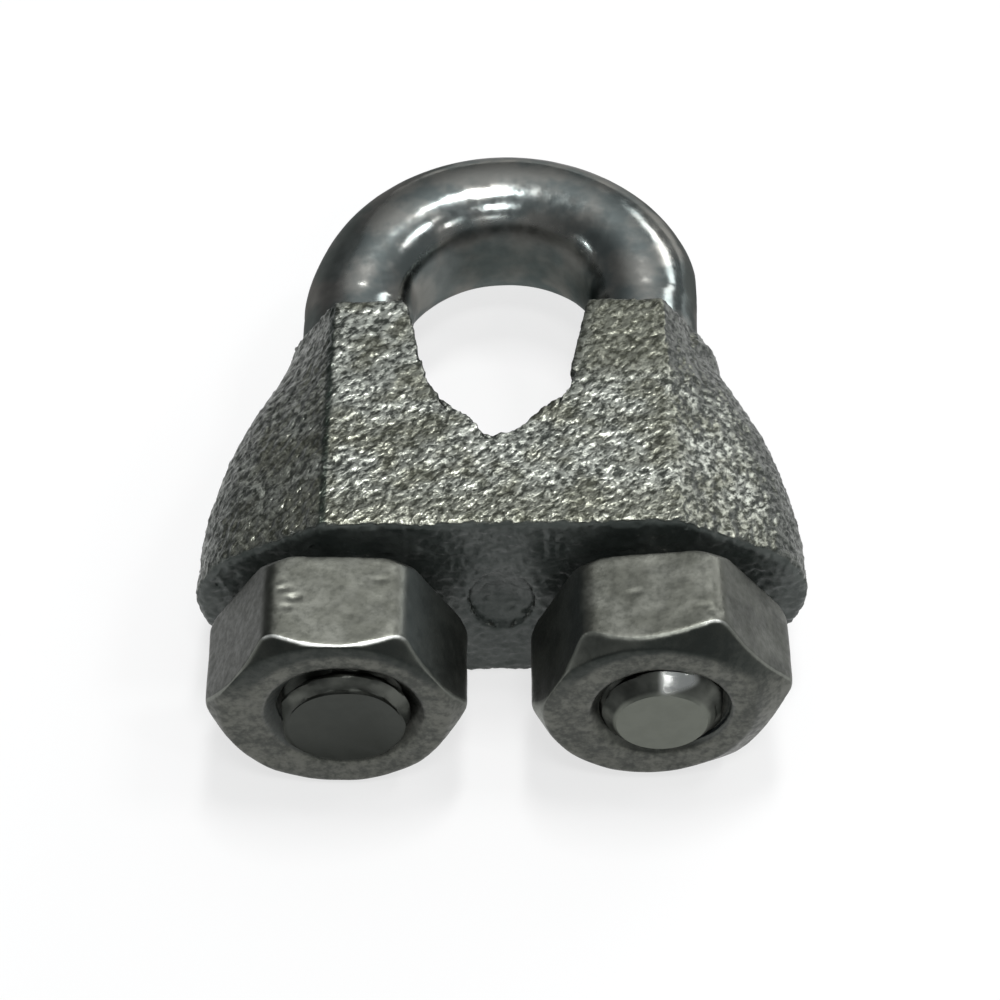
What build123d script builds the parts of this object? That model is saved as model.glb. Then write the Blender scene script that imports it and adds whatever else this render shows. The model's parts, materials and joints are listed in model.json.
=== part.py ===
from math import asin, atan, atan2, cos, hypot, radians, sin, sqrt, tan
import os

from build123d import *

# A malleable-iron wire rope clip with M6 legs: a U-bolt, a cast saddle that rides on its legs,
# and two hex nuts. Lengths are in millimetres and angles in degrees.
# X runs across the two legs, Y along them from the nuts towards the bow, and Z along the rope.
# The clip lies on the saddle's back face, which is lowest at the edge of the base.

# U-bolt
leg_spacing = 14.0  # between the leg axes
rod_diameter = 5.3  # blank of a rolled M6 thread
haunch_gain = 0.6  # by which the rod is thicker a third of the way up each side of the bow
haunch_angle = 30.0
crown_gain = 1.0  # by which it is thicker at the middle of the bow
bow_press = 0.45  # taken off the inside of the crown, where the rope's seat is pressed round
bow_rise = 2.5  # straight leg between the tops of the horns and the bow
tip_proud = 0.5  # leg beyond the outer face of its nut
tip_chamfer = 0.6

# Hex nuts, size M6
nut_across_flats = 10.0
nut_height = 5.0
nut_end_margin = 0.5  # by which the flat ring at each end is narrower than the flats
nut_chamfer_angle = 30.0
nut_countersink = 0.6  # across the radius, at both mouths of the thread
thread_clearance = 0.05  # on the radius, between a leg and its nut
left_nut_turn = 2.0  # clockwise from a flat on top, seen from the nuts
right_nut_turn = -6.0
nut_standoff = 1.3  # the saddle is loose, and lies this far off the nuts

# Saddle. Heights are above its base, and reaches are outwards from a leg's axis.
saddle_height = 14.8
base_depth = 11.2
horn_depth = 8.8
base_reach = 6.95  # to the round end of the saddle
horn_reach = 3.15
horn_lip = 1.0  # height of the upright top of the flank
base_crease_reach = 0.95  # to where the flat front turns into the slanted side
horn_crease_reach = 0.8
base_tip_radius = 4.0  # of the round end
horn_tip_radius = 3.4
flank_radius = 26.0  # of the flank's lower part, which starts upright
flank_round_height = 10.6  # up to where the flank is round, and straight above
face_stock = 1.0  # left on the slanted sides for the flat front and back to be cut from
leg_clearance = 0.4  # on the radius, between a leg and the saddle
channel_height = 10.1  # from where the leg holes are open towards the rope
seat_floor = 5.1  # height of the point of the rope's seat
seat_shoulder_height = 9.2
seat_shoulder_inset = 1.1  # the seat's shoulders stand in from its mouth
seat_mouth_margin = 0.05  # the seat's mouth is wider than the gap between the legs, on each side
seat_floor_round = 1.2
seat_shoulder_round = 1.6
base_round = 0.4
horn_round = 0.35
cast_recess_width = 2.9
cast_recess_depth = 4.1
cast_recess_sink = 0.3

# Places that follow from the sizes
leg_x = leg_spacing / 2
rod_radius = rod_diameter / 2
haunch_radius = rod_radius + haunch_gain / 2
crown_radius = rod_radius + crown_gain / 2
leg_hole_radius = rod_radius + leg_clearance
leg_z = base_depth / 2
seat_mouth_x = leg_x - rod_radius + seat_mouth_margin
seat_shoulder_x = seat_mouth_x - seat_shoulder_inset
leg_below_saddle = tip_proud + nut_height + nut_standoff
bow_above_saddle = bow_rise + leg_x + crown_radius
tip_y = -(leg_below_saddle + saddle_height + bow_above_saddle) / 2
nut_seat_y = tip_y + tip_proud + nut_height
base_y = nut_seat_y + nut_standoff
horn_y = base_y + saddle_height
spring_y = horn_y + bow_rise


def across(y, x=0.0):
    """The plane across the legs at y, facing the nuts, with its own X along X and Y along Z."""
    return Plane(origin=(x, y, leg_z), x_dir=(1, 0, 0), z_dir=(0, -1, 0))


def rod_section(angle, radius):
    """The round of the rod at an angle up the bow, counted from the right leg."""
    along = radians(angle)
    centre = (leg_x * cos(along), spring_y + leg_x * sin(along), leg_z)
    with BuildSketch(Plane(origin=centre, x_dir=(0, 0, 1), z_dir=(-sin(along), cos(along), 0))) as section:
        Circle(radius)
    return section.sketch


def half_width(height):
    """Half the saddle's width at a height: the flank is an arc, then straight, then upright at the horn."""
    rounded = min(height, flank_round_height)
    upright = sqrt(flank_radius**2 - rounded**2)
    flank = base_reach - (flank_radius - upright) - (height - rounded) * rounded / upright
    return leg_x + max(flank, horn_reach)


def casting_outline(height):
    """The saddle's outline at a height: slanted sides that end in a round, with stock on the faces."""
    share = height / saddle_height
    half_depth = (base_depth + share * (horn_depth - base_depth)) / 2
    crease = leg_x + base_crease_reach + share * (horn_crease_reach - base_crease_reach)
    tip_radius = base_tip_radius + share * (horn_tip_radius - base_tip_radius)
    tip_x = half_width(height)
    run = tip_x - tip_radius - crease
    slant = atan2(-half_depth, run) + asin(tip_radius / hypot(run, half_depth))
    side = sqrt(run**2 + half_depth**2 - tip_radius**2)
    start = (crease - face_stock * cos(slant), half_depth - face_stock * sin(slant))
    touch = (crease + side * cos(slant), half_depth + side * sin(slant))
    with BuildSketch(across(base_y + height)) as outline:
        with BuildLine():
            Polyline((0, start[1]), start, touch)
            ThreePointArc(touch, (tip_x, 0), (touch[0], -touch[1]))
            Polyline((touch[0], -touch[1]), (start[0], -start[1]), (0, -start[1]))
            mirror(about=Plane.YZ)
        make_face()
    return outline.sketch


# U-bolt: the bow is one rod that thickens towards its crown, and its inside is pressed round.
with BuildPart() as u_bolt:
    with BuildLine() as bow_line:
        CenterArc((0, spring_y, leg_z), leg_x, 0, 180)
    sections = [
        rod_section(0, rod_radius),
        rod_section(haunch_angle, haunch_radius),
        rod_section(90, crown_radius),
        rod_section(180 - haunch_angle, haunch_radius),
        rod_section(180, rod_radius),
    ]
    sweep(sections=sections, path=bow_line.line, multisection=True)
    with BuildSketch(Plane.XY.offset(leg_z)):
        with Locations((0, spring_y)):
            Circle(leg_x - crown_radius + bow_press)
    extrude(amount=leg_z, both=True, mode=Mode.SUBTRACT)
    with BuildSketch(across(spring_y)):
        with Locations((-leg_x, 0), (leg_x, 0)):
            Circle(rod_radius)
    extrude(amount=spring_y - tip_y)
    chamfer(u_bolt.edges().group_by(Axis.Y)[0], tip_chamfer)
u_bolt.part.label = "u_bolt"

# Saddle: a drafted casting with a V-shaped rope seat between two horns.
draft = atan((base_depth - horn_depth) / 2 / saddle_height)
front_face = Plane(origin=(0, base_y, base_depth), x_dir=(1, 0, 0), z_dir=(0, sin(draft), cos(draft)))
back_face = Plane(origin=(0, base_y, 0), x_dir=(1, 0, 0), z_dir=(0, sin(draft), -cos(draft)))
round_heights = [flank_round_height * step / 4 for step in range(5)]
flank_heights = round_heights + [saddle_height - horn_lip, saddle_height]
with BuildPart() as saddle:
    loft(sections=[casting_outline(height) for height in flank_heights])
    split(bisect_by=front_face, keep=Keep.BOTTOM)
    split(bisect_by=back_face, keep=Keep.BOTTOM)
    fillet(saddle.edges().group_by(Axis.Y)[0], base_round)
    with BuildSketch(Plane.XY.offset(leg_z)):
        with BuildLine():
            above = horn_y + seat_mouth_x
            walls = FilletPolyline(
                (-seat_mouth_x, above),
                (-seat_mouth_x, horn_y),
                (-seat_shoulder_x, base_y + seat_shoulder_height),
                (0, base_y + seat_floor),
                (seat_shoulder_x, base_y + seat_shoulder_height),
                (seat_mouth_x, horn_y),
                (seat_mouth_x, above),
                radius=[seat_shoulder_round, seat_shoulder_round, seat_floor_round]
                + [seat_shoulder_round, seat_shoulder_round],
            )
            Line(walls @ 1, walls @ 0)
        make_face()
    extrude(amount=leg_z, both=True, mode=Mode.SUBTRACT)
    fillet(saddle.edges().group_by(Axis.Y)[-1], horn_round)
    with BuildSketch(across(base_y)):
        with Locations((-leg_x, 0), (leg_x, 0)):
            Circle(leg_hole_radius)
    extrude(amount=-saddle_height, mode=Mode.SUBTRACT)
    with BuildSketch(across(horn_y)):
        Rectangle(leg_spacing, 2 * leg_hole_radius)
    extrude(amount=saddle_height - channel_height, mode=Mode.SUBTRACT)
    with BuildSketch(across(base_y)):
        Ellipse(cast_recess_width / 2, cast_recess_depth / 2)
    extrude(amount=-cast_recess_sink, mode=Mode.SUBTRACT)
saddle.part.label = "saddle"


def hex_nut(x, turn):
    """A double-chamfered nut on the leg at x, turned clockwise from a flat on top."""
    corner = nut_across_flats / 2 / cos(radians(30))
    ring = (nut_across_flats - nut_end_margin) / 2
    slope = (corner - ring) * tan(radians(nut_chamfer_angle))
    with BuildPart() as nut:
        with BuildSketch(across(nut_seat_y, x)):
            RegularPolygon(nut_across_flats / 2, 6, major_radius=False, rotation=-turn)
        extrude(amount=nut_height)
        with BuildSketch(Plane(origin=(x, nut_seat_y, leg_z), x_dir=(1, 0, 0), z_dir=(0, 0, 1))):
            with BuildLine():
                Polyline(
                    (0, 0),
                    (ring, 0),
                    (corner, -slope),
                    (corner, slope - nut_height),
                    (ring, -nut_height),
                    (0, -nut_height),
                    close=True,
                )
            make_face()
        revolve(axis=Axis((x, 0, leg_z), (0, 1, 0)), mode=Mode.INTERSECT)
        with BuildSketch(across(nut_seat_y, x)):
            Circle(rod_radius + thread_clearance)
        extrude(amount=nut_height, mode=Mode.SUBTRACT)
        chamfer(nut.edges(Select.LAST).filter_by(GeomType.CIRCLE), nut_countersink)
    return nut.part


left_nut = hex_nut(-leg_x, left_nut_turn)
left_nut.label = "left_nut"
right_nut = hex_nut(leg_x, right_nut_turn)
right_nut.label = "right_nut"

os.makedirs("parts", exist_ok=True)
for piece in (u_bolt.part, saddle.part, left_nut, right_nut):
    export_step(piece, f"parts/{piece.label}.step")
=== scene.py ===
import json
from math import pi, radians, tan

import bpy
import numpy as np
from mathutils import Matrix, Vector


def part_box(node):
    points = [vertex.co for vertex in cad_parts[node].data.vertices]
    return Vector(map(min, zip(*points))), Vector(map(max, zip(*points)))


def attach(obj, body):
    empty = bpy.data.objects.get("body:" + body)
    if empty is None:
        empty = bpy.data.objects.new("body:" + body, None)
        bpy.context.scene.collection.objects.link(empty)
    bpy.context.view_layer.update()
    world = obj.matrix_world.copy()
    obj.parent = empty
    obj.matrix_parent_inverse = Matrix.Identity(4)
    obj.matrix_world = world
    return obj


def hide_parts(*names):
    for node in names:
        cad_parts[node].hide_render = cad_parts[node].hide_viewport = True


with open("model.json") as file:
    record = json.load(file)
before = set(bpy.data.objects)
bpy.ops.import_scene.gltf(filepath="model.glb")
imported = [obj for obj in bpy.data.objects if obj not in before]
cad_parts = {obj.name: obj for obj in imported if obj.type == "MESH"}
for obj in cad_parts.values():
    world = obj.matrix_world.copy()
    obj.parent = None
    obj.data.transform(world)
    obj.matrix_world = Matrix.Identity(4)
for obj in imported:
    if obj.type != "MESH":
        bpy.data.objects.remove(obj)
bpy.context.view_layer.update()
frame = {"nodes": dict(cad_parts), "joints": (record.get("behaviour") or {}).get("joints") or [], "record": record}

# Wire rope clip. X runs across the two legs, Y along them from the nuts towards the bow, and Z along
# the rope. Left and right are as seen from the nuts.
mm = 0.001
joints = {joint["name"]: joint for joint in frame["joints"]}
leg_x, _, leg_z = joints["right_nut_turn"]["pos_m"]
turn_per_metre = frame["record"]["behaviour"]["couplings"][0]["ratio"]
bolt_low, bolt_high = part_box("u_bolt")
saddle_low, saddle_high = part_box("saddle")

# M6 x 1 thread
pitch = 2 * pi / turn_per_metre
crest_radius = 2.95 * mm
root_radius = 2.42 * mm
crest_share = 0.15  # of the pitch that the crest takes up
flank_slope = 1.732  # rise of a 60 degree thread's flank for each unit along the leg
rows_per_pitch = 13

# U-bolt
rod_radius = 2.65 * mm
crown_radius = 3.15 * mm
spring_y = bolt_high.y - crown_radius - leg_x  # where the bow begins
press_radius = 4.3 * mm  # inside of the crown, pressed round
press_soft = 0.4 * mm  # over which the press's edge rounds off
press_start = 1.5 * mm  # above the legs, over which its band begins
press_swell = 0.27 * mm  # metal that the press pushed up below its band
press_swell_angle = radians(42)  # round the rod, from the inside of the bow
press_swell_width = radians(30)
swell_power = 0.74  # how soon the rod thickens towards the crown
bow_shift = 0.28 * mm  # the crown was bent off centre
bow_shift_run = (-1 * mm, 4 * mm)  # from where the bow begins, over which that shift grows
thread_length = 15 * mm
thread_run_out = 1.5 * mm
# By side: radius of the tip's flat, and length of its chamfer for each unit across
tip_flats = {1: (2.02 * mm, 1.0), -1: (2.6 * mm, 0.6)}
rod_lump_size = Vector((1.3, 1.3, 1.3)) * mm  # waves left in the plating
rod_lump_height = 0.025 * mm
rod_columns = 96
bow_steps = 150
shank_cuts = 39  # rings between the thread and the bow

# Nuts
across_flats = 10.3 * mm
corner_round = 0.5 * mm  # at the six corners, worn by spanners
nut_turns = {"left_nut": 2, "right_nut": -6}  # degrees, clockwise from a flat on top
nut_shifts = {"left_nut": -0.35 * mm, "right_nut": 0.05 * mm}  # the hexagon is off the thread's centre
front_rings = {"left_nut": 5.05 * mm, "right_nut": 4.65 * mm}  # radius of the flat ring at the outer end
front_shifts = {"left_nut": -0.05 * mm, "right_nut": -0.55 * mm}  # by which that ring is off centre
front_chamfer = 42  # degrees
back_ring = 5.5 * mm
back_chamfer = 52
blank_margin = 0.1 * mm  # by which the turned blank is wider than the corners
countersinks = {"left_nut": 3.6 * mm, "right_nut": 3.2 * mm}  # radius of the thread's mouth
thread_gap = 0.13 * mm
tap_overrun = 0.5 * mm  # past each end of the nut
nut_voxel = 0.085 * mm
nut_smoothing = 12  # passes, which round the edges off
nut_lump_size = Vector((1.4, 1.4, 1.4)) * mm
nut_lump_height = 0.06 * mm
dent_width = 0.32 * mm
dent_length = 0.16 * mm
# Dents on the top flats, in mm: right of the middle, behind the outer end, and deep
dents = {
    "left_nut": (
        (-2.1, 3.2, 0.06),
        (-1.6, 2.7, 0.07),
        (-2.4, 3.6, 0.05),
        (-1.9, 2.2, 0.04),
        (2.1, 3.7, 0.03),
    ),
    "right_nut": (
        (2.2, 1.6, 0.05),
        (1.8, 1.9, 0.03),
        (-1.2, 2.9, 0.03),
    ),
}

# Saddle
casting_voxel = 0.12 * mm
seat_half_width = 4.4 * mm
groove_slant = 0.36  # of the rope's strands across the seat, for each unit along the rope
strand_spacing = 2.35 * mm  # on average
strand_grooves = ((-2.55, 0.75, 0.45), (-0.75, 0.5, 0.35), (2.5, 1.1, 0.45))  # place, depth, width in mm
groove_end = 3 * mm  # below the horns' tops
horn_fill = 0.22 * mm  # by which the right horn is fuller on its inside
fill_height = 5 * mm  # down from the horn's top
fill_margin = 0.6 * mm  # beyond the seat's half width
ledge = 0.3 * mm  # by which the right flank stands out near its top
ledge_place = 1.2 * mm  # below the horns' tops
ledge_height = 0.6 * mm
ledge_start = 2.2 * mm  # outwards from the leg's axis
waist = 0.13 * mm  # by which both flanks are drawn in below the horns
waist_place = 3.6 * mm
waist_height = 2 * mm
waist_run = 2 * mm  # outwards from the leg's axis, over which it grows
recess_halves = (1.45, 2.05)  # half the width and height of the cast recess in the base, in mm
recess_sink = 0.3 * mm
lump_size = Vector((1.6, 1.6, 1.6)) * mm
lump_height = 0.12 * mm
grain_size = Vector((0.5, 0.24, 0.3)) * mm
grain_turn = radians(50)
grain_height = 0.2 * mm
lump_middle = 0.6  # share of a lump's height that lies below the smooth surface
faces_kept = 0.62  # share of the casting's faces, once its skin is made


def select_none():
    if bpy.context.object and bpy.context.object.mode != "OBJECT":
        bpy.ops.object.mode_set(mode="OBJECT")
    bpy.ops.object.select_all(action="DESELECT")


def named(name):
    """The piece just added, with its own name and its place in its mesh."""
    piece = bpy.context.object
    piece.name = name
    piece.data.name = name
    bpy.ops.object.transform_apply(location=True, rotation=True, scale=True)
    return piece


def active(piece):
    select_none()
    piece.select_set(True)
    bpy.context.view_layer.objects.active = piece


def points_of(piece):
    points = np.empty(len(piece.data.vertices) * 3)
    piece.data.vertices.foreach_get("co", points)
    return points.reshape(-1, 3)


def normals_of(piece):
    normals = np.empty(len(piece.data.vertices) * 3)
    piece.data.vertices.foreach_get("normal", normals)
    return normals.reshape(-1, 3)


def put_points(piece, points):
    piece.data.vertices.foreach_set("co", np.asarray(points, float).ravel())
    piece.data.update()


def finish_with(piece, kind, **settings):
    """One modifier, applied."""
    active(piece)
    modifier = piece.modifiers.new(kind.title(), kind)
    for name, value in settings.items():
        setattr(modifier, name, value)
    bpy.ops.object.modifier_apply(modifier=modifier.name)


def cut(piece, tool, operation="DIFFERENCE"):
    finish_with(piece, "BOOLEAN", object=tool, operation=operation, solver="EXACT")
    bpy.data.objects.remove(tool)


def roughen(piece, size, height, turn=0.0, depth=1):
    """Soft lumps over the whole surface, mostly sunk, of a size along X, Y and Z before they are turned."""
    clouds = bpy.data.textures.new(piece.name + "_clouds", "CLOUDS")
    clouds.noise_scale = 1
    clouds.noise_depth = depth
    clouds.use_clamp = False
    grid = bpy.data.objects.new(piece.name + "_grid", None)
    bpy.context.scene.collection.objects.link(grid)
    grid.scale = size
    grid.rotation_euler = (0, 0, turn)
    bpy.context.view_layer.update()
    finish_with(
        piece,
        "DISPLACE",
        texture=clouds,
        texture_coords="OBJECT",
        texture_coords_object=grid,
        strength=height,
        mid_level=lump_middle,
    )
    bpy.data.objects.remove(grid)


def smooth_step(values, low, high):
    share = np.clip((values - low) / (high - low), 0, 1)
    return share * share * (3 - 2 * share)


def hump(values, middle, width):
    return np.exp(-(((values - middle) / width) ** 2))


def thread_radius(along, around, crest, root):
    """The radius of a right-handed thread, by the place along its axis and the angle around it."""
    phase = (along / pitch - around / (2 * pi)) % 1
    from_crest = np.abs(phase - 0.5)
    height = crest - np.maximum(from_crest - crest_share / 2, 0) * pitch * flank_slope
    return np.maximum(height, root)


def select_edges(piece, test):
    """In edit mode, the edges whose two ends pass the test."""
    bpy.ops.mesh.select_mode(type="EDGE")
    bpy.ops.mesh.select_all(action="DESELECT")
    bpy.ops.object.mode_set(mode="OBJECT")
    points = points_of(piece)
    for edge in piece.data.edges:
        edge.select = bool(test(points[edge.vertices[0]], points[edge.vertices[1]]))
    bpy.ops.object.mode_set(mode="EDIT")


def legs_between(low, high, shortest):
    """A test for edges that run along a leg between two heights and are longer than shortest."""
    low, high = low - 1e-6, high + 1e-6
    return lambda a, b: abs(a[1] - b[1]) > shortest and min(a[1], b[1]) > low and max(a[1], b[1]) < high


# U-bolt: a round is drawn up the right leg, round the bow and down the left leg.
thread_end = bolt_low.y + thread_length
shank_length = spring_y - thread_end
select_none()
bpy.ops.mesh.primitive_circle_add(
    vertices=rod_columns,
    radius=rod_radius,
    location=(leg_x, bolt_low.y, leg_z),
    rotation=(pi / 2, 0, 0),
)
u_bolt = named("u_bolt_rod")
bpy.ops.object.mode_set(mode="EDIT")
bpy.ops.mesh.select_all(action="SELECT")
bpy.ops.mesh.extrude_region_move(TRANSFORM_OT_translate={"value": (0, thread_length, 0)})
bpy.ops.mesh.extrude_region_move(TRANSFORM_OT_translate={"value": (0, shank_length, 0)})
bpy.ops.mesh.spin(steps=bow_steps, angle=pi, center=(0, spring_y, leg_z), axis=(0, 0, -1))
bpy.ops.mesh.extrude_region_move(TRANSFORM_OT_translate={"value": (0, -shank_length, 0)})
bpy.ops.mesh.extrude_region_move(TRANSFORM_OT_translate={"value": (0, -thread_length, 0)})
select_edges(u_bolt, legs_between(thread_end, spring_y, shortest=1 * mm))
bpy.ops.mesh.subdivide(number_cuts=shank_cuts)
select_edges(u_bolt, legs_between(bolt_low.y, thread_end, shortest=2 * mm))
bpy.ops.mesh.subdivide(number_cuts=round(thread_length / pitch) - 1)
select_edges(u_bolt, legs_between(bolt_low.y, thread_end, shortest=0.5 * mm))
bpy.ops.mesh.subdivide(number_cuts=rows_per_pitch - 1)
bpy.ops.mesh.select_all(action="SELECT")
bpy.ops.mesh.remove_doubles(threshold=0.01 * mm)
bpy.ops.mesh.fill_holes(sides=0)
bpy.ops.mesh.select_all(action="SELECT")
bpy.ops.mesh.normals_make_consistent(inside=False)
bpy.ops.object.mode_set(mode="OBJECT")

# Its threads are rolled, and each tip is chamfered.
points = points_of(u_bolt)
for side, (flat, cone) in tip_flats.items():
    leg = (points[:, 0] * side > 0) & (points[:, 1] < thread_end)
    across = points[leg, 0] - side * leg_x
    up = points[leg, 2] - leg_z
    along = points[leg, 1]
    away = np.hypot(across, up)
    around = np.arctan2(across, up)
    rolled = thread_radius(along, around, crest_radius, root_radius)
    rolled += (away - rolled) * smooth_step(along, thread_end - thread_run_out, thread_end)
    rolled = np.minimum(rolled, flat + (along - bolt_low.y) / cone)
    points[leg, 0] = side * leg_x + across * rolled / away
    points[leg, 2] = leg_z + up * rolled / away

# The bow thickens towards its crown, and swells beside the band that is pressed round inside it.
bow = points[:, 1] > spring_y
angle = np.arctan2(points[bow, 1] - spring_y, points[bow, 0])
outwards = np.stack([np.cos(angle), np.sin(angle), np.zeros(angle.shape)], axis=1)
centre = np.array([0, spring_y, leg_z]) + leg_x * outwards
spoke = points[bow] - centre
around = np.arctan2(-spoke[:, 2], -(spoke * outwards).sum(axis=1))
grown = 1 + (crown_radius / rod_radius - 1) * np.sin(angle) ** swell_power
swelling = press_swell * np.sin(angle) ** 0.5 * (spoke[:, 2] < 0)
grown += swelling / rod_radius * hump(around, press_swell_angle, press_swell_width)
points[bow] = centre + spoke * grown[:, None]

# The press pushes the metal out to its radius, with a soft edge.
reach = np.hypot(points[:, 0], points[:, 1] - spring_y)
inside = press_radius - reach
pushed = np.where(bow, press_soft * np.log1p(np.exp(np.clip(inside / press_soft, -30, 30))), 0)
pushed *= smooth_step(points[:, 1], spring_y, spring_y + press_start)
points[:, 0] += points[:, 0] / np.maximum(reach, 1e-9) * pushed
points[:, 1] += (points[:, 1] - spring_y) / np.maximum(reach, 1e-9) * pushed
shift_start, shift_end = bow_shift_run
points[:, 0] += bow_shift * smooth_step(points[:, 1], spring_y + shift_start, spring_y + shift_end)
put_points(u_bolt, points)
roughen(u_bolt, rod_lump_size, rod_lump_height)
put_points(u_bolt, np.clip(points_of(u_bolt), bolt_low, bolt_high))
active(u_bolt)
bpy.ops.object.shade_smooth_by_angle(angle=radians(35))


def turned(name, x, profile, sides=128):
    """A closed shape turned about the axis along Y at x: each ring by its place and its radius."""
    (y, radius), *rings = profile
    select_none()
    bpy.ops.mesh.primitive_circle_add(
        vertices=sides,
        radius=radius,
        fill_type="NGON",
        location=(x, y, leg_z),
        rotation=(pi / 2, 0, 0),
    )
    piece = named(name)
    bpy.ops.object.mode_set(mode="EDIT")
    bpy.ops.mesh.select_all(action="SELECT")
    for next_y, next_radius in rings:
        bpy.ops.mesh.extrude_region_move(TRANSFORM_OT_translate={"value": (0, next_y - y, 0)})
        grow = next_radius / radius
        bpy.ops.transform.resize(value=(grow, 1, grow), center_override=(x, next_y, leg_z))
        y, radius = next_y, next_radius
    bpy.ops.mesh.select_all(action="SELECT")
    bpy.ops.mesh.normals_make_consistent(inside=False)
    bpy.ops.object.mode_set(mode="OBJECT")
    return piece


def nut(name, side):
    """A hexagon, chamfered in a turned blank, bored, countersunk and tapped, then worn and dented."""
    x = side * leg_x
    middle = x + nut_shifts[name]
    low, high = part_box(name)
    corner = across_flats / 3 ** 0.5
    select_none()
    bpy.ops.mesh.primitive_cylinder_add(
        vertices=6,
        radius=corner,
        depth=high.y - low.y,
        location=(middle, (low.y + high.y) / 2, leg_z),
        rotation=(pi / 2, radians(30 + nut_turns[name]), 0),
    )
    piece = named(name + "_hexagon")
    bpy.ops.object.mode_set(mode="EDIT")
    select_edges(piece, lambda a, b: abs(a[1] - b[1]) > 1 * mm)
    bpy.ops.mesh.bevel(offset=corner_round, segments=5, affect="EDGES")
    bpy.ops.object.mode_set(mode="OBJECT")
    widest = corner + blank_margin
    front = front_rings[name]
    front_rise = (widest - front) * tan(radians(front_chamfer))
    back_rise = (widest - back_ring) * tan(radians(back_chamfer))
    rings = [
        (low.y, front),
        (low.y + front_rise, widest),
        (high.y - back_rise, widest),
        (high.y, back_ring),
    ]
    blank = turned(name + "_blank", middle, rings)
    points = points_of(blank)
    points[points[:, 1] < low.y + front_rise / 2, 0] += front_shifts[name]
    put_points(blank, points)
    cut(piece, blank, "INTERSECT")
    tap_length = high.y - low.y + 2 * tap_overrun
    rows = int(tap_length / pitch * rows_per_pitch)
    places = [low.y - tap_overrun + tap_length * row / rows for row in range(rows + 1)]
    tap = turned(name + "_tap", x, [(place, rod_radius) for place in places], sides=rod_columns)
    points = points_of(tap)
    across = points[:, 0] - x
    up = points[:, 2] - leg_z
    along = points[:, 1]
    away = np.hypot(across, up)
    bore = thread_radius(along, np.arctan2(across, up), crest_radius, root_radius) + thread_gap
    bore = np.maximum(bore, countersinks[name] - np.minimum(along - low.y, high.y - along))
    points[:, 0] = x + across * bore / away
    points[:, 2] = leg_z + up * bore / away
    put_points(tap, points)
    cut(piece, tap)
    finish_with(piece, "REMESH", mode="VOXEL", voxel_size=nut_voxel, use_smooth_shade=True)
    finish_with(piece, "SMOOTH", factor=0.5, iterations=nut_smoothing)
    roughen(piece, nut_lump_size, nut_lump_height)
    points = points_of(piece)
    on_top = normals_of(piece)[:, 2] > 0.8
    for right, behind, depth in dents[name]:
        dent = hump(points[:, 0], middle + right * mm, dent_width)
        dent *= hump(points[:, 1], low.y + behind * mm, dent_length)
        points[:, 2] -= depth * mm * dent * on_top
    put_points(piece, points)
    return piece


nuts = {name: nut(name, side) for name, side in (("left_nut", -1), ("right_nut", 1))}


def casting():
    """The saddle's smooth shape, with the rope's lay in its seat, then worn uneven and given its skin."""
    piece = frame["nodes"]["saddle"].copy()
    piece.data = piece.data.copy()
    bpy.context.scene.collection.objects.link(piece)
    piece.parent = None
    for key in list(piece.keys()):
        del piece[key]
    piece.name = piece.data.name = "saddle_casting"
    active(piece)
    bpy.ops.object.mode_set(mode="EDIT")
    bpy.ops.mesh.select_all(action="SELECT")
    bpy.ops.mesh.remove_doubles(threshold=0.001 * mm)
    bpy.ops.object.mode_set(mode="OBJECT")
    finish_with(piece, "REMESH", mode="VOXEL", voxel_size=casting_voxel, use_smooth_shade=True)
    finish_with(piece, "SMOOTH", factor=0.5, iterations=3)
    points = points_of(piece)
    normals = normals_of(piece)
    facing_bow = normals[:, 1] > 0.15
    facing_left = normals[:, 0] < -0.3
    facing_nuts = normals[:, 1] < -0.5
    top = saddle_high.y

    # Strands
    in_seat = (np.abs(points[:, 0]) < seat_half_width) & facing_bow & (points[:, 1] < top - groove_end)
    place = points[:, 0] - (saddle_high.z - points[:, 2]) * groove_slant
    sunk = np.zeros(len(points))
    for middle, depth, width in strand_grooves:
        for turn in range(-1, 4):
            again = turn * len(strand_grooves) * strand_spacing
            sunk += depth * mm * hump(place, middle * mm - again, width * mm)
    points[in_seat, 1] -= sunk[in_seat]

    # Horns, flanks and recess
    right_inside = facing_left & (points[:, 0] > 0) & (points[:, 0] < seat_half_width + fill_margin)
    points[right_inside & (points[:, 1] > top - fill_height), 0] -= horn_fill
    right_flank = points[:, 0] > leg_x + ledge_start
    points[:, 0] += ledge * hump(points[:, 1], top - ledge_place, ledge_height) * right_flank
    drawn_in = waist * hump(points[:, 1], top - waist_place, waist_height)
    drawn_in *= smooth_step(np.abs(points[:, 0]), leg_x, leg_x + waist_run)
    points[:, 0] -= np.sign(points[:, 0]) * drawn_in
    width, height = recess_halves
    from_middle = np.hypot(points[:, 0] / width, (points[:, 2] - leg_z) / height) / mm
    points[:, 1] += recess_sink * smooth_step(-from_middle, -1, 0) * facing_nuts
    put_points(piece, points)

    # Skin
    finish_with(piece, "SMOOTH", factor=0.5, iterations=2)
    roughen(piece, lump_size, lump_height)
    roughen(piece, grain_size, grain_height, grain_turn, depth=2)
    finish_with(piece, "DECIMATE", ratio=faces_kept)
    put_points(piece, np.clip(points_of(piece), saddle_low, saddle_high))
    return piece


saddle = casting()


def linear(code):
    """An sRGB hex colour as linear RGBA."""
    shares = [int(code[i : i + 2], 16) / 255 for i in (1, 3, 5)]
    return tuple(s / 12.92 if s <= 0.04045 else ((s + 0.055) / 1.055) ** 2.4 for s in shares) + (1,)


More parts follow.
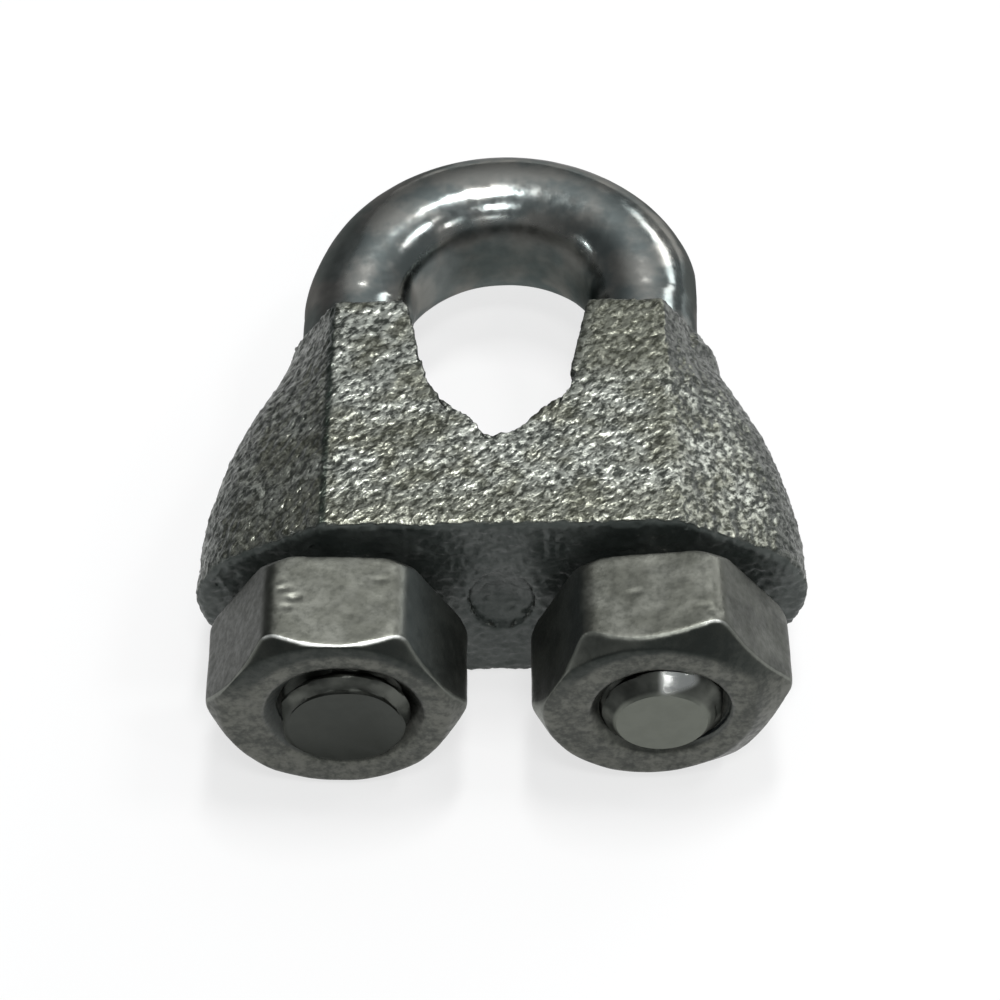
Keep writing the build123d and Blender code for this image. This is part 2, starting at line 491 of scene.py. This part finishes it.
def add_node(tree, kind, inputs=(), **settings):
    """One node with its settings and its inputs, by name or in order: constants, or sockets to link."""
    node = tree.nodes.new(kind)
    for name, value in settings.items():
        setattr(node, name, value)
    for name, value in inputs.items() if isinstance(inputs, dict) else enumerate(inputs):
        if isinstance(value, bpy.types.NodeSocket):
            tree.links.new(value, node.inputs[name])
        else:
            node.inputs[name].default_value = value
    return node


def new_material(name):
    material = bpy.data.materials.new(name)
    material.use_nodes = True
    return material, material.node_tree, material.node_tree.nodes["Principled BSDF"]


# Steps run from one value to another: value, lowest, highest, result at the lowest and at the highest.
soft_step = {"kind": "ShaderNodeMapRange", "interpolation_type": "SMOOTHSTEP"}
# Layers put one colour over another: 0 is the share of the upper, 6 the lower and 7 the upper colour.
layer = {"kind": "ShaderNodeMix", "data_type": "RGBA"}
layer_out = 2


def bright_rod_zinc():
    """Bright zinc on a cold-bent rod: mirror-like on top, with mottled painted shade outside and on the pressed
    band.
    """
    material, tree, shader = new_material("bright_electroplated_zinc")
    texture = add_node(tree, "ShaderNodeTexCoord").outputs
    place = texture["Object"]
    parts = add_node(tree, "ShaderNodeSeparateXYZ", [place]).outputs
    inputs = {"Vector": place, "Scale": 1 / (2.2 * mm), "Detail": 4}
    cloud = add_node(tree, "ShaderNodeTexNoise", inputs).outputs[0]
    inputs = {"Vector": place, "Scale": 1 / (0.6 * mm), "Detail": 4}
    fine = add_node(tree, "ShaderNodeTexNoise", inputs).outputs[0]
    cloudy = add_node(tree, inputs=[cloud, 0.38, 0.62], **soft_step).outputs[0]
    inputs = {0: cloudy, 6: linear("#7d8483"), 7: linear("#a09f9a")}
    color = add_node(tree, inputs=inputs, **layer).outputs[layer_out]
    # Reach is the distance, seen from above, from the middle of the bow or of the gap between the legs.
    bent = add_node(tree, "ShaderNodeVectorMath", [place, (-1, spring_y, 0)], operation="MAXIMUM").outputs[0]
    bent = add_node(tree, "ShaderNodeVectorMath", [bent, (1, 1, 0)], operation="MULTIPLY").outputs[0]
    inputs = [bent, (bow_shift, spring_y, 0)]
    reach = add_node(tree, "ShaderNodeVectorMath", inputs, operation="DISTANCE").outputs[1]
    # Its outside is painted darker as shade, mottled, further in on the left and with a ragged edge.
    edge = add_node(tree, inputs=[parts[0], -8 * mm, 0, 7.7 * mm, 9 * mm], **soft_step).outputs[0]
    inputs = [cloud, 1.5 * mm, edge]
    ragged = add_node(tree, "ShaderNodeMath", inputs, operation="MULTIPLY_ADD").outputs[0]
    beyond = add_node(tree, "ShaderNodeMath", [reach, ragged], operation="SUBTRACT").outputs[0]
    outside = add_node(tree, inputs=[beyond, -0.9 * mm, -0.5 * mm], **soft_step).outputs[0]
    inputs = {0: cloudy, 6: linear("#626664"), 7: linear("#747370")}
    painted_outer_shade = add_node(tree, inputs=inputs, **layer).outputs[layer_out]
    color = add_node(tree, inputs={0: outside, 6: color, 7: painted_outer_shade}, **layer).outputs[layer_out]
    # The pressed band is painted dark as shade, and lighter towards the left.
    near, far = press_radius - 0.05 * mm, press_radius + 0.5 * mm
    pressed = add_node(tree, inputs=[reach, near, far, 1, 0], **soft_step).outputs[0]
    left = add_node(tree, inputs=[parts[0], -3.5 * mm, -1.5 * mm, 1, 0], **soft_step).outputs[0]
    inputs = {0: left, 6: linear("#373e3c"), 7: linear("#7c807e")}
    band = add_node(tree, inputs=inputs, **layer).outputs[layer_out]
    color = add_node(tree, inputs={0: pressed, 6: color, 7: band}, **layer).outputs[layer_out]
    # Sheared tips, darker on the left, and thread ends painted darker as shade, with grease
    right = add_node(tree, inputs=[parts[0], -1 * mm, 1 * mm], **soft_step).outputs[0]
    inputs = {0: right, 6: linear("#494b48"), 7: linear("#70736c")}
    sheared = add_node(tree, inputs=inputs, **layer).outputs[layer_out]
    inputs = {0: cloudy, 6: linear("#3a3c39"), 7: linear("#5f615c")}
    grease_and_shade = add_node(tree, inputs=inputs, **layer).outputs[layer_out]
    tip_y = bolt_low.y
    end = add_node(tree, inputs=[parts[1], tip_y + 1.5 * mm, tip_y + 3 * mm, 1, 0], **soft_step).outputs[0]
    color = add_node(tree, inputs={0: end, 6: color, 7: grease_and_shade}, **layer).outputs[layer_out]
    inputs = [parts[1], tip_y + 0.05 * mm, tip_y + 0.2 * mm, 1, 0]
    tip = add_node(tree, inputs=inputs, **soft_step).outputs[0]
    color = add_node(tree, inputs={0: tip, 6: color, 7: sheared}, **layer).outputs[layer_out]
    # A bright painted highlight lies at the start of the right thread.
    inputs = [parts[1], tip_y + 0.9 * mm, tip_y + 1.2 * mm, 1, 0]
    from_tip = add_node(tree, inputs=inputs, **soft_step).outputs[0]
    aside = add_node(tree, "ShaderNodeMath", [parts[0], leg_x + 0.7 * mm], operation="SUBTRACT").outputs[0]
    aside = add_node(tree, "ShaderNodeMath", [aside], operation="ABSOLUTE").outputs[0]
    painted_highlight = add_node(tree, inputs=[aside, 0.5 * mm, 1 * mm, 1, 0], **soft_step).outputs[0]
    upper = add_node(tree, inputs=[parts[2], leg_z + 2 * mm, leg_z + 2.25 * mm], **soft_step).outputs[0]
    painted_highlight = add_node(tree, "ShaderNodeMath", [painted_highlight, upper], operation="MULTIPLY").outputs[0]
    painted_highlight = add_node(tree, "ShaderNodeMath", [painted_highlight, from_tip], operation="MULTIPLY").outputs[0]
    color = add_node(tree, inputs={0: painted_highlight, 6: color, 7: linear("#d0d2cf")}, **layer).outputs[layer_out]
    tree.links.new(color, shader.inputs["Base Color"])
    shader.inputs["Metallic"].default_value = 1
    shader.inputs["Specular Tint"].default_value = linear("#a0a0a0")
    gloss = add_node(tree, inputs=[fine, 0.35, 0.65, 0.13, 0.22], **soft_step).outputs[0]
    inputs = [reach, press_radius + 0.1 * mm, press_radius + 0.9 * mm, 1, 0]
    dull = add_node(tree, inputs=inputs, **soft_step).outputs[0]
    dull = add_node(tree, "ShaderNodeMath", [dull, outside], operation="MAXIMUM").outputs[0]
    dull = add_node(tree, "ShaderNodeMath", [dull, end], operation="MAXIMUM").outputs[0]
    inputs = [dull, painted_highlight]
    dull = add_node(tree, "ShaderNodeMath", inputs, operation="SUBTRACT", use_clamp=True).outputs[0]
    gloss = add_node(tree, "ShaderNodeMath", [dull, 0.25, gloss], operation="MULTIPLY_ADD").outputs[0]
    tree.links.new(gloss, shader.inputs["Roughness"])
    bump = {"Height": fine, "Strength": 0.3, "Distance": 0.03 * mm}
    tree.links.new(add_node(tree, "ShaderNodeBump", bump).outputs[0], shader.inputs["Normal"])
    return material


def cast_iron_zinc():
    """Zinc on sand-cast malleable iron: slanting grains, bright on their peaks and dull in the pits."""
    material, tree, shader = new_material("zinc_plated_malleable_iron")
    texture = add_node(tree, "ShaderNodeTexCoord").outputs
    place = texture["Object"]
    parts = add_node(tree, "ShaderNodeSeparateXYZ", [place]).outputs
    facing = add_node(tree, "ShaderNodeSeparateXYZ", [texture["Normal"]]).outputs
    inputs = {"Vector": place, "Rotation": (0, 0, grain_turn), "Scale": (1.4, 1, 1)}
    along_grain = add_node(tree, "ShaderNodeMapping", inputs, vector_type="TEXTURE").outputs[0]
    inputs = {"Vector": along_grain, "Scale": 1 / (0.27 * mm), "Detail": 2, "Roughness": 0.6}
    grain = add_node(tree, "ShaderNodeTexNoise", inputs).outputs[0]
    inputs = {"Vector": place, "Scale": 1 / (2 * mm), "Detail": 2}
    patch = add_node(tree, "ShaderNodeTexNoise", inputs).outputs[0]
    peak = add_node(tree, inputs=[grain, 0.36, 0.64], **soft_step).outputs[0]
    patchy = add_node(tree, inputs=[patch, 0.4, 0.65], **soft_step).outputs[0]
    inputs = {0: peak, 6: linear("#464945"), 7: linear("#c2c5bc")}
    color = add_node(tree, inputs=inputs, **layer).outputs[layer_out]
    inputs = {0: peak, 6: linear("#4a4b41"), 7: linear("#8a8b7d")}
    olive_darker = add_node(tree, inputs=inputs, **layer).outputs[layer_out]
    # Darker olive tones lie in random patches, over the upper right horn, and low down towards the base.
    right_horn = add_node(tree, inputs=[parts[0], 2.5 * mm, 5 * mm], **soft_step).outputs[0]
    high_up = add_node(tree, inputs=[parts[1], -2.5 * mm, 0.5 * mm], **soft_step).outputs[0]
    upper_right_horn = add_node(tree, "ShaderNodeMath", [right_horn, high_up], operation="MULTIPLY").outputs[0]
    base_y = saddle_low.y
    inputs = [parts[1], base_y + 1 * mm, base_y + 3.5 * mm, 0.8, 0]
    low_down = add_node(tree, inputs=inputs, **soft_step).outputs[0]
    share = add_node(tree, "ShaderNodeMath", [patchy, upper_right_horn], operation="MAXIMUM").outputs[0]
    share = add_node(tree, "ShaderNodeMath", [share, low_down], operation="MAXIMUM").outputs[0]
    share = add_node(tree, "ShaderNodeMath", [share, 0.85], operation="MULTIPLY").outputs[0]
    color = add_node(tree, inputs={0: share, 6: color, 7: olive_darker}, **layer).outputs[layer_out]
    # Only the top keeps the bright colour; faces turned away from it are painted darker, as shade.
    inputs = {0: peak, 6: linear("#454845"), 7: linear("#70736e")}
    side = add_node(tree, inputs=inputs, **layer).outputs[layer_out]
    top = add_node(tree, inputs=[facing[2], 0.75, 0.95], **soft_step).outputs[0]
    color = add_node(tree, inputs={0: top, 6: side, 7: color}, **layer).outputs[layer_out]
    # A dark line is painted along the left crease, as shade.
    crease = add_node(tree, "ShaderNodeMath", [parts[0], leg_x + 0.9 * mm], operation="ADD").outputs[0]
    crease = add_node(tree, "ShaderNodeMath", [crease], operation="ABSOLUTE").outputs[0]
    crease = add_node(tree, inputs=[crease, 0.06 * mm, 0.28 * mm, 0.85, 0], **soft_step).outputs[0]
    color = add_node(tree, inputs={0: crease, 6: color, 7: linear("#29322d")}, **layer).outputs[layer_out]
    # The base is painted dark as shade, with grease in patches.
    inputs = {0: patchy, 6: linear("#3a403d"), 7: linear("#4b504d")}
    grease_and_shade = add_node(tree, inputs=inputs, **layer).outputs[layer_out]
    under = add_node(tree, inputs=[facing[1], -0.75, -0.35, 1, 0], **soft_step).outputs[0]
    color = add_node(tree, inputs={0: under, 6: color, 7: grease_and_shade}, **layer).outputs[layer_out]
    tree.links.new(color, shader.inputs["Base Color"])
    metal = add_node(tree, inputs=[under, 0, 1, 0.95, 0.3], **soft_step).outputs[0]
    tree.links.new(metal, shader.inputs["Metallic"])
    gloss = add_node(tree, inputs=[grain, 0.35, 0.65, 0.5, 0.3], **soft_step).outputs[0]
    tree.links.new(gloss, shader.inputs["Roughness"])
    # The skin is coarsest in the middle of the face, finer on the horns, and finest under the base.
    worn = add_node(tree, "ShaderNodeMath", [high_up, 0.45], operation="MULTIPLY").outputs[0]
    worn = add_node(tree, "ShaderNodeMath", [under, 0.75, worn], operation="MULTIPLY_ADD").outputs[0]
    coarse = add_node(tree, inputs=[worn, 0, 1, 1, 0], **soft_step).outputs[0]
    height = add_node(tree, "ShaderNodeMath", [grain, coarse], operation="MULTIPLY").outputs[0]
    bump = {"Height": height, "Strength": 1, "Distance": 0.1 * mm}
    tree.links.new(add_node(tree, "ShaderNodeBump", bump).outputs[0], shader.inputs["Normal"])
    return material


def nut_zinc_plating():
    """Dull zinc plating on a cold-formed nut: satin flats, ends painted darker as shade and mottled, and painted
    shade between the nuts.
    """
    material, tree, shader = new_material("dull_zinc_plated_steel")
    texture = add_node(tree, "ShaderNodeTexCoord").outputs
    place = texture["Object"]
    parts = add_node(tree, "ShaderNodeSeparateXYZ", [place]).outputs
    facing = add_node(tree, "ShaderNodeSeparateXYZ", [texture["Normal"]]).outputs
    inputs = {"Vector": place, "Scale": 1 / (1.5 * mm), "Detail": 3}
    patch = add_node(tree, "ShaderNodeTexNoise", inputs).outputs[0]
    inputs = {"Vector": place, "Scale": 1 / (0.3 * mm), "Detail": 3, "Roughness": 0.6}
    fine = add_node(tree, "ShaderNodeTexNoise", inputs).outputs[0]
    patchy = add_node(tree, inputs=[patch, 0.38, 0.62], **soft_step).outputs[0]
    inputs = {0: patchy, 6: linear("#62635c"), 7: linear("#74756e")}
    color = add_node(tree, inputs=inputs, **layer).outputs[layer_out]
    scuffed = add_node(tree, inputs=[fine, 0.35, 0.7, 0, 0.35], **soft_step).outputs[0]
    color = add_node(tree, inputs={0: scuffed, 6: color, 7: linear("#4d4e47")}, **layer).outputs[layer_out]
    # Faces that turn away from the top are painted darker, as shade.
    inputs = {0: patchy, 6: linear("#42443f"), 7: linear("#575953")}
    side = add_node(tree, inputs=inputs, **layer).outputs[layer_out]
    top = add_node(tree, inputs=[facing[2], 0.6, 0.9], **soft_step).outputs[0]
    color = add_node(tree, inputs={0: top, 6: side, 7: color}, **layer).outputs[layer_out]
    # The outer sides face away from the middle of the clip, and the inner sides face each other. The left nut's
    # outer side is painted darker as shade, and the inner sides are painted with the shade of the gap between the
    # nuts, darker on the right nut.
    left = add_node(tree, inputs=[parts[0], -1 * mm, 1 * mm, 1, 0], **soft_step).outputs[0]
    towards = add_node(tree, "ShaderNodeMath", [parts[0], facing[0]], operation="MULTIPLY").outputs[0]
    outer = add_node(tree, inputs=[towards, 1 * mm, 5 * mm, 0, 0.85], **soft_step).outputs[0]
    outer = add_node(tree, "ShaderNodeMath", [outer, left], operation="MULTIPLY").outputs[0]
    color = add_node(tree, inputs={0: outer, 6: color, 7: linear("#343632")}, **layer).outputs[layer_out]
    inputs = {0: left, 6: linear("#3a4042"), 7: linear("#5a6161")}
    painted_gap_shade = add_node(tree, inputs=inputs, **layer).outputs[layer_out]
    inner = add_node(tree, inputs=[towards, -5 * mm, -1 * mm, 1, 0], **soft_step).outputs[0]
    color = add_node(tree, inputs={0: inner, 6: color, 7: painted_gap_shade}, **layer).outputs[layer_out]
    # The outer ends are painted darker as shade, mottled with grease.
    mottled = add_node(tree, "ShaderNodeMath", [patch, fine], operation="ADD").outputs[0]
    mottled = add_node(tree, inputs=[mottled, 0.75, 1.25], **soft_step).outputs[0]
    inputs = {0: mottled, 6: linear("#434541"), 7: linear("#5f605a")}
    grease_and_shade = add_node(tree, inputs=inputs, **layer).outputs[layer_out]
    end = add_node(tree, inputs=[facing[1], -0.85, -0.5, 1, 0], **soft_step).outputs[0]
    color = add_node(tree, inputs={0: end, 6: color, 7: grease_and_shade}, **layer).outputs[layer_out]
    # The outer end is darker towards its upper rim.
    across = add_node(tree, "ShaderNodeMath", [parts[0]], operation="ABSOLUTE").outputs[0]
    around = add_node(tree, "ShaderNodeCombineXYZ", {"X": across, "Z": parts[2]}).outputs[0]
    inputs = [around, (leg_x, 0, leg_z)]
    away = add_node(tree, "ShaderNodeVectorMath", inputs, operation="DISTANCE").outputs[1]
    rim = add_node(tree, inputs=[away, 4.2 * mm, 4.6 * mm], **soft_step).outputs[0]
    inputs = [parts[2], leg_z + 1 * mm, leg_z + 3 * mm, 0, 0.8]
    upper = add_node(tree, inputs=inputs, **soft_step).outputs[0]
    upper_rim_dark = add_node(tree, "ShaderNodeMath", [rim, upper], operation="MULTIPLY").outputs[0]
    upper_rim_dark = add_node(tree, "ShaderNodeMath", [upper_rim_dark, end], operation="MULTIPLY").outputs[0]
    color = add_node(tree, inputs={0: upper_rim_dark, 6: color, 7: linear("#262b29")}, **layer).outputs[layer_out]
    # Edges at the outer end are lightened, as wear and as a painted highlight. Those on top carry a bright painted
    # highlight, on the right nut only at its corner.
    turn_down = add_node(tree, inputs=[facing[1], -0.3, -0.12, 1, 0], **soft_step).outputs[0]
    before_end = add_node(tree, inputs=[facing[1], -0.75, -0.55], **soft_step).outputs[0]
    edge = add_node(tree, "ShaderNodeMath", [turn_down, before_end], operation="MULTIPLY").outputs[0]
    front_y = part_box("left_nut")[0].y
    inputs = [parts[1], front_y + 1 * mm, front_y + 1.3 * mm, 1, 0]
    in_front = add_node(tree, inputs=inputs, **soft_step).outputs[0]
    edge = add_node(tree, "ShaderNodeMath", [edge, in_front], operation="MULTIPLY").outputs[0]
    worn = add_node(tree, "ShaderNodeMath", [edge, 0.6], operation="MULTIPLY").outputs[0]
    color = add_node(tree, inputs={0: worn, 6: color, 7: linear("#83867f")}, **layer).outputs[layer_out]
    edge = add_node(tree, "ShaderNodeMath", [edge, top], operation="MULTIPLY").outputs[0]
    corner = add_node(tree, inputs=[parts[0], leg_x + 1.5 * mm, leg_x + 2.5 * mm], **soft_step).outputs[0]
    painted_highlight = add_node(tree, "ShaderNodeMath", [left, corner], operation="MAXIMUM").outputs[0]
    edge = add_node(tree, "ShaderNodeMath", [edge, painted_highlight], operation="MULTIPLY").outputs[0]
    color = add_node(tree, inputs={0: edge, 6: color, 7: linear("#d8dad6")}, **layer).outputs[layer_out]
    tree.links.new(color, shader.inputs["Base Color"])
    metal = add_node(tree, inputs=[inner, 0, 1, 0.9, 0.4], **soft_step).outputs[0]
    tree.links.new(metal, shader.inputs["Metallic"])
    gloss = add_node(tree, inputs=[fine, 0.3, 0.7, 0.48, 0.34], **soft_step).outputs[0]
    tree.links.new(gloss, shader.inputs["Roughness"])
    bump = {"Height": fine, "Strength": 0.3, "Distance": 0.03 * mm}
    tree.links.new(add_node(tree, "ShaderNodeBump", bump).outputs[0], shader.inputs["Normal"])
    return material


bolt_zinc = bright_rod_zinc()
cast_zinc = cast_iron_zinc()
nut_zinc = nut_zinc_plating()
for piece, material, body, slot in (
    (u_bolt, bolt_zinc, "u_bolt", "zinc_plated_bolt"),
    (saddle, cast_zinc, "saddle", "zinc_plated_casting"),
    (nuts["left_nut"], nut_zinc, "left_nut", "zinc_plated_nuts"),
    (nuts["right_nut"], nut_zinc, "right_nut", "zinc_plated_nuts"),
):
    piece.data.materials.clear()
    piece.data.materials.append(material)
    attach(piece, body)
    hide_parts(body)

# Floor, lights and camera
select_none()
bpy.ops.mesh.primitive_plane_add(size=2, location=(0, 0, 0))
floor = named("floor")
paper, tree, shader = new_material("floor_paper")
shader.inputs["Base Color"].default_value = linear("#f4f4f4")
shader.inputs["Roughness"].default_value = 0.9
# To the eye, and in metal, the paper is most of the way to white, and keeps part of its shadows.
path = add_node(tree, "ShaderNodeLightPath").outputs
inputs = [path["Is Camera Ray"], path["Is Glossy Ray"]]
seen = add_node(tree, "ShaderNodeMath", inputs, operation="MAXIMUM").outputs[0]
inputs = [seen, path["Is Transmission Ray"]]
seen = add_node(tree, "ShaderNodeMath", inputs, operation="MAXIMUM").outputs[0]
share = add_node(tree, "ShaderNodeMath", [seen, 0.7], operation="MULTIPLY").outputs[0]
white = add_node(tree, "ShaderNodeEmission", {"Strength": 1}).outputs[0]
mixed = add_node(tree, "ShaderNodeMixShader", [share, shader.outputs[0], white]).outputs[0]
tree.links.new(mixed, tree.nodes["Material Output"].inputs["Surface"])
floor.data.materials.append(paper)

world = bpy.data.worlds.new("studio")
bpy.context.scene.world = world
world.use_nodes = True
tree = world.node_tree
background = tree.nodes["Background"]
background.inputs["Color"].default_value = linear("#f0f4f6")
# The room is lightest high behind the clip, a little to the right, and darker low on the left.
direction = add_node(tree, "ShaderNodeTexCoord").outputs["Generated"]
lightest = Vector((0.2, 0.5, 0.84)).normalized()
nearness = add_node(tree, "ShaderNodeVectorMath", [direction, lightest], operation="DOT_PRODUCT").outputs[1]
nearness = add_node(tree, "ShaderNodeMath", [nearness, 0], operation="MAXIMUM").outputs[0]
glow = add_node(tree, "ShaderNodeMath", [nearness, 8], operation="POWER").outputs[0]
strength = add_node(tree, "ShaderNodeMath", [glow, 0.5, 0.3], operation="MULTIPLY_ADD").outputs[0]
sideways = add_node(tree, "ShaderNodeSeparateXYZ", [direction]).outputs[0]
shade = add_node(tree, inputs=[sideways, -0.7, -0.2, 0.5, 1], **soft_step).outputs[0]
strength = add_node(tree, "ShaderNodeMath", [strength, shade], operation="MULTIPLY").outputs[0]
tree.links.new(strength, background.inputs["Strength"])


lamp_distance = 0.5


def softbox(name, direction, size, power):
    """A rectangular lamp that faces the middle of the clip, with its size in metres and power in watts."""
    lamp = bpy.data.lights.new(name, "AREA")
    lamp.shape = "RECTANGLE"
    lamp.size, lamp.size_y = size
    lamp.energy = power
    box = bpy.data.objects.new(name, lamp)
    bpy.context.scene.collection.objects.link(box)
    towards = Vector(direction).normalized()
    box.location = Vector((0, 0, leg_z)) + towards * lamp_distance
    box.rotation_euler = towards.to_track_quat("Z", "Y").to_euler()


softbox("overhead_softbox", (0.07, 0.2, 0.97), (0.055, 0.16), 1.13)
softbox("front_softbox", (0.07, -0.4, 0.91), (0.11, 0.08), 0.5)
softbox("right_softbox", (0.55, 0.05, 0.83), (0.08, 0.08), 0.35)
softbox("right_front_softbox", (0.58, -0.42, 0.7), (0.04, 0.08), 0.1)
softbox("left_lamp", (-0.9, -0.06, 0.42), (0.025, 0.025), 0.09)
softbox("near_lamp", (0.16, -0.76, 0.62), (0.14, 0.03), 0.1)
softbox("low_strip", (0.57, 0.71, 0.42), (0.28, 0.09), 0.4)

camera_data = bpy.data.cameras.new("camera")
camera = bpy.data.objects.new("camera", camera_data)
bpy.context.scene.collection.objects.link(camera)
camera_data.sensor_width = 36
camera_data.lens = 104.8
camera.location = (0.855 * mm, -90.47 * mm, 110.90 * mm)
heading = Matrix.Rotation(radians(0.609), 3, "Z")
tilt = Matrix.Rotation(pi / 2 - radians(50.727), 3, "X")
roll = Matrix.Rotation(radians(-1.136), 3, "Z")
camera.rotation_euler = (heading @ tilt @ roll).to_euler()
camera_data.clip_start = 1 * mm
camera_data.clip_end = 10
bpy.context.scene.camera = camera
bpy.context.scene.view_settings.view_transform = "Standard"
